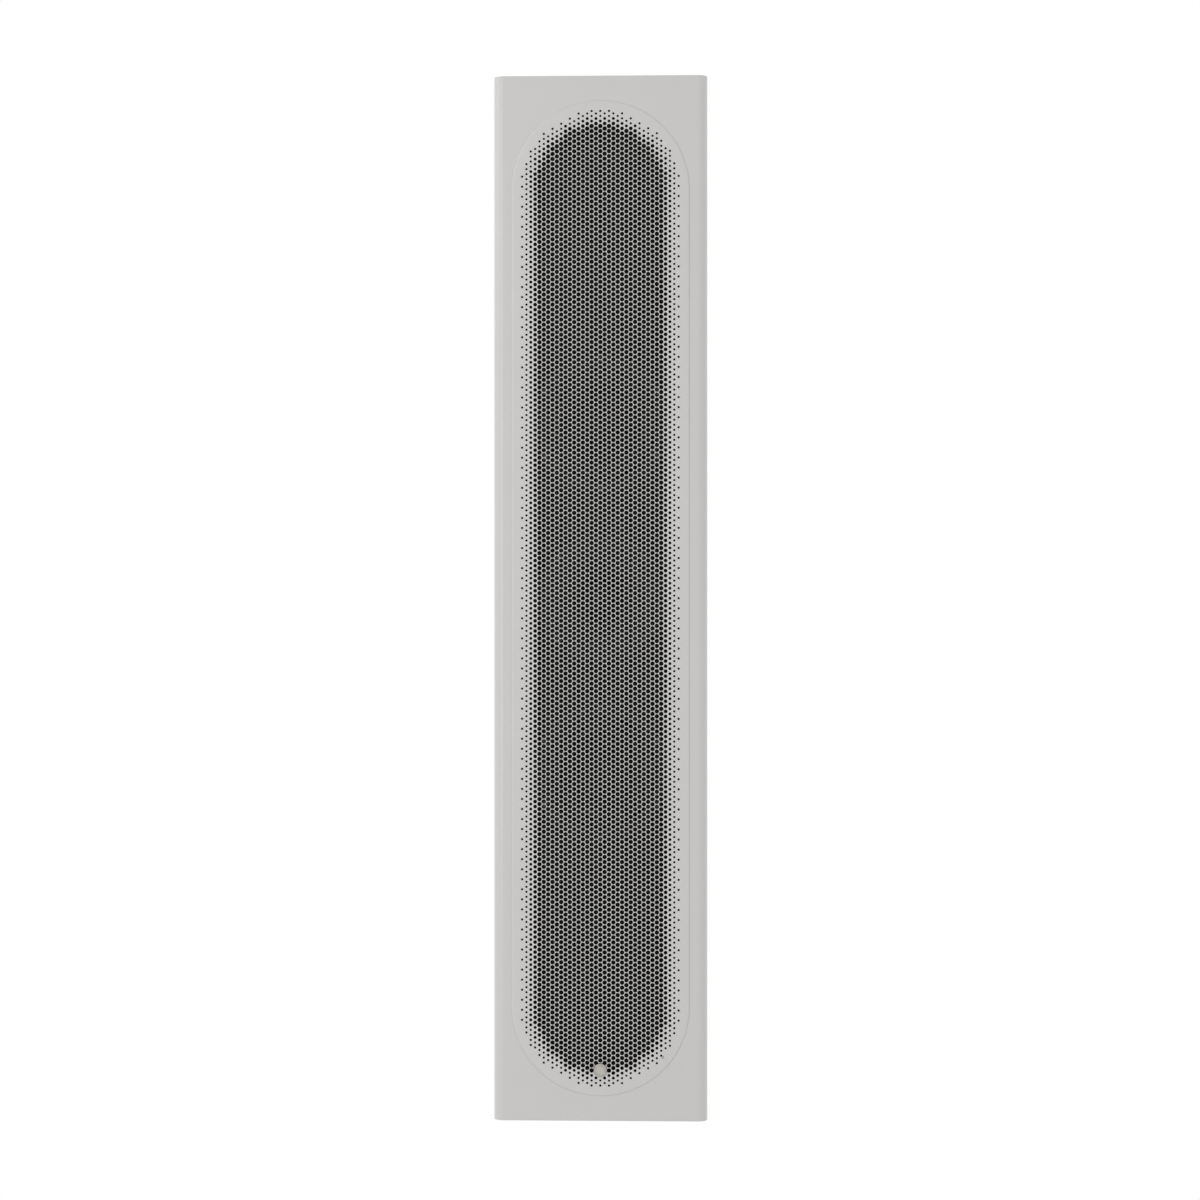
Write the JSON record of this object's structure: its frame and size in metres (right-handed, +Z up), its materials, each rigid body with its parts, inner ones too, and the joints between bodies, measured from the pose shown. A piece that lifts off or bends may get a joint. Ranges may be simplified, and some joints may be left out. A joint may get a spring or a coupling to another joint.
{
  "type": "on-wall speaker",
  "caption": "Tall slim on-wall loudspeaker: painted box with rounded front edges, perforated stadium grille, cone drivers round a horn tweeter, rear terminal cup and keyhole hangers.",
  "frame": {"origin": "middle of the rear panel's outer face, midway between the two keyholes", "axes": "+X to the right seen from the front, +Y towards the wall, so the grille faces -Y, +Z up"},
  "size_m": [0.213, 0.0972, 1.041],
  "materials": {
    "cabinet_paint": "satin warm grey-white paint on fibreboard",
    "grille_paint": "satin warm grey-white powder coat",
    "badge_metal": "warm silver, fine turned rim",
    "baffle_black": "matt black paint on fibreboard",
    "rear_black": "matt black paint on fibreboard",
    "raw_board": "bare fibreboard",
    "seal_foam": "closed-cell foam",
    "damping_felt": "grey felt",
    "black_steel": "black oxide",
    "zinc_steel": "zinc plated",
    "bumper_rubber": "soft rubber",
    "magnet_nickel": "nickel plated",
    "driver_black": "matt black moulding",
    "dome_cloth": "coated cloth",
    "winding_copper": "enamelled copper wire",
    "motor_steel": "plated steel",
    "ferrite": "sintered ferrite",
    "tag_brass": "tinned brass tags on a strip",
    "board_laminate": "green laminate",
    "spacer_plastic": "nylon",
    "capacitor_film": "yellow film wrap",
    "resistor_ceramic": "white cement body",
    "post_brass": "gilt brass",
    "cap_red": "clear red moulding",
    "cap_black": "black moulding",
    "lead_cover": "flexible cover",
    "surround_rubber": "half-roll rubber",
    "cone_paper": "black pulp",
    "spider_cloth": "resin-dipped cloth"
  },
  "bodies": {
    "cabinet": {"binding_posts": "post_brass", "cabinet_shell": "cabinet_paint", "crossover_board": "board_laminate", "crossover_capacitors": "capacitor_film", "crossover_resistor": "resistor_ceramic", "crossover_screws": "zinc_steel", "crossover_spacers": "spacer_plastic", "driver_baffle": "baffle_black", "driver_screws": "black_steel", "driver_tags": "tag_brass", "grille_magnets": "magnet_nickel", "input_leads": "lead_cover", "keyhole_plates": "zinc_steel", "lower_brace": "raw_board", "lower_damping_pad": "damping_felt", "lower_woofer_basket": "driver_black", "lower_woofer_gasket": "seal_foam", "lower_woofer_magnet": "ferrite", "lower_woofer_spider": "spider_cloth", "lower_woofer_surround": "surround_rubber", "lower_woofer_top_plate": "motor_steel", "lower_woofer_yoke": "motor_steel", "post_nuts": "zinc_steel", "rear_fitting_screws": "zinc_steel", "rear_frame": "raw_board", "rear_panel": "rear_black", "rear_panel_screws": "black_steel", "rear_panel_seal": "seal_foam", "terminal_cup": "driver_black", "tweeter_dome": "dome_cloth", "tweeter_gasket": "seal_foam", "tweeter_inductor": "winding_copper", "tweeter_lead": "lead_cover", "tweeter_magnet": "ferrite", "tweeter_top_plate": "motor_steel", "tweeter_voice_coil": "winding_copper", "tweeter_waveguide": "driver_black", "tweeter_yoke": "motor_steel", "upper_brace": "raw_board", "upper_damping_pad": "damping_felt", "upper_woofer_basket": "driver_black", "upper_woofer_gasket": "seal_foam", "upper_woofer_magnet": "ferrite", "upper_woofer_spider": "spider_cloth", "upper_woofer_surround": "surround_rubber", "upper_woofer_top_plate": "motor_steel", "upper_woofer_yoke": "motor_steel", "wall_bumpers": "bumper_rubber", "woofer_inductor": "winding_copper", "woofer_leads": "lead_cover"},
    "grille": {"grille": "grille_paint", "grille_badge": "badge_metal"},
    "upper_cone": {"upper_woofer_cone": "cone_paper", "upper_woofer_dust_cap": "cone_paper", "upper_woofer_voice_coil": "winding_copper"},
    "lower_cone": {"lower_woofer_cone": "cone_paper", "lower_woofer_dust_cap": "cone_paper", "lower_woofer_voice_coil": "winding_copper"},
    "red_cap": {"red_post_cap": "cap_red"},
    "black_cap": {"black_post_cap": "cap_black"}
  },
  "joints": [
    {"name": "grille_pull", "type": "slide", "parent": "cabinet", "child": "grille", "axis": [0, -1, 0], "range_m": [0, 0.1]},
    {"name": "upper_cone_travel", "type": "slide", "parent": "cabinet", "child": "upper_cone", "axis": [0, -1, 0], "range_m": [-0.004, 0.004], "stiffness_N_per_m": 1000, "deforming": ["upper_woofer_surround", "upper_woofer_spider"]},
    {"name": "lower_cone_travel", "type": "slide", "parent": "cabinet", "child": "lower_cone", "axis": [0, -1, 0], "range_m": [-0.004, 0.004], "stiffness_N_per_m": 1000, "deforming": ["lower_woofer_surround", "lower_woofer_spider"]},
    {"name": "red_cap_turn", "type": "hinge", "parent": "cabinet", "child": "red_cap", "pos_m": [-0.0095, -0.015, -0.4152], "axis": [0, 1, 0], "range_deg": [0, 1080]},
    {"name": "black_cap_turn", "type": "hinge", "parent": "cabinet", "child": "black_cap", "pos_m": [0.0095, -0.015, -0.4152], "axis": [0, 1, 0], "range_deg": [0, 1080]}
  ]
}
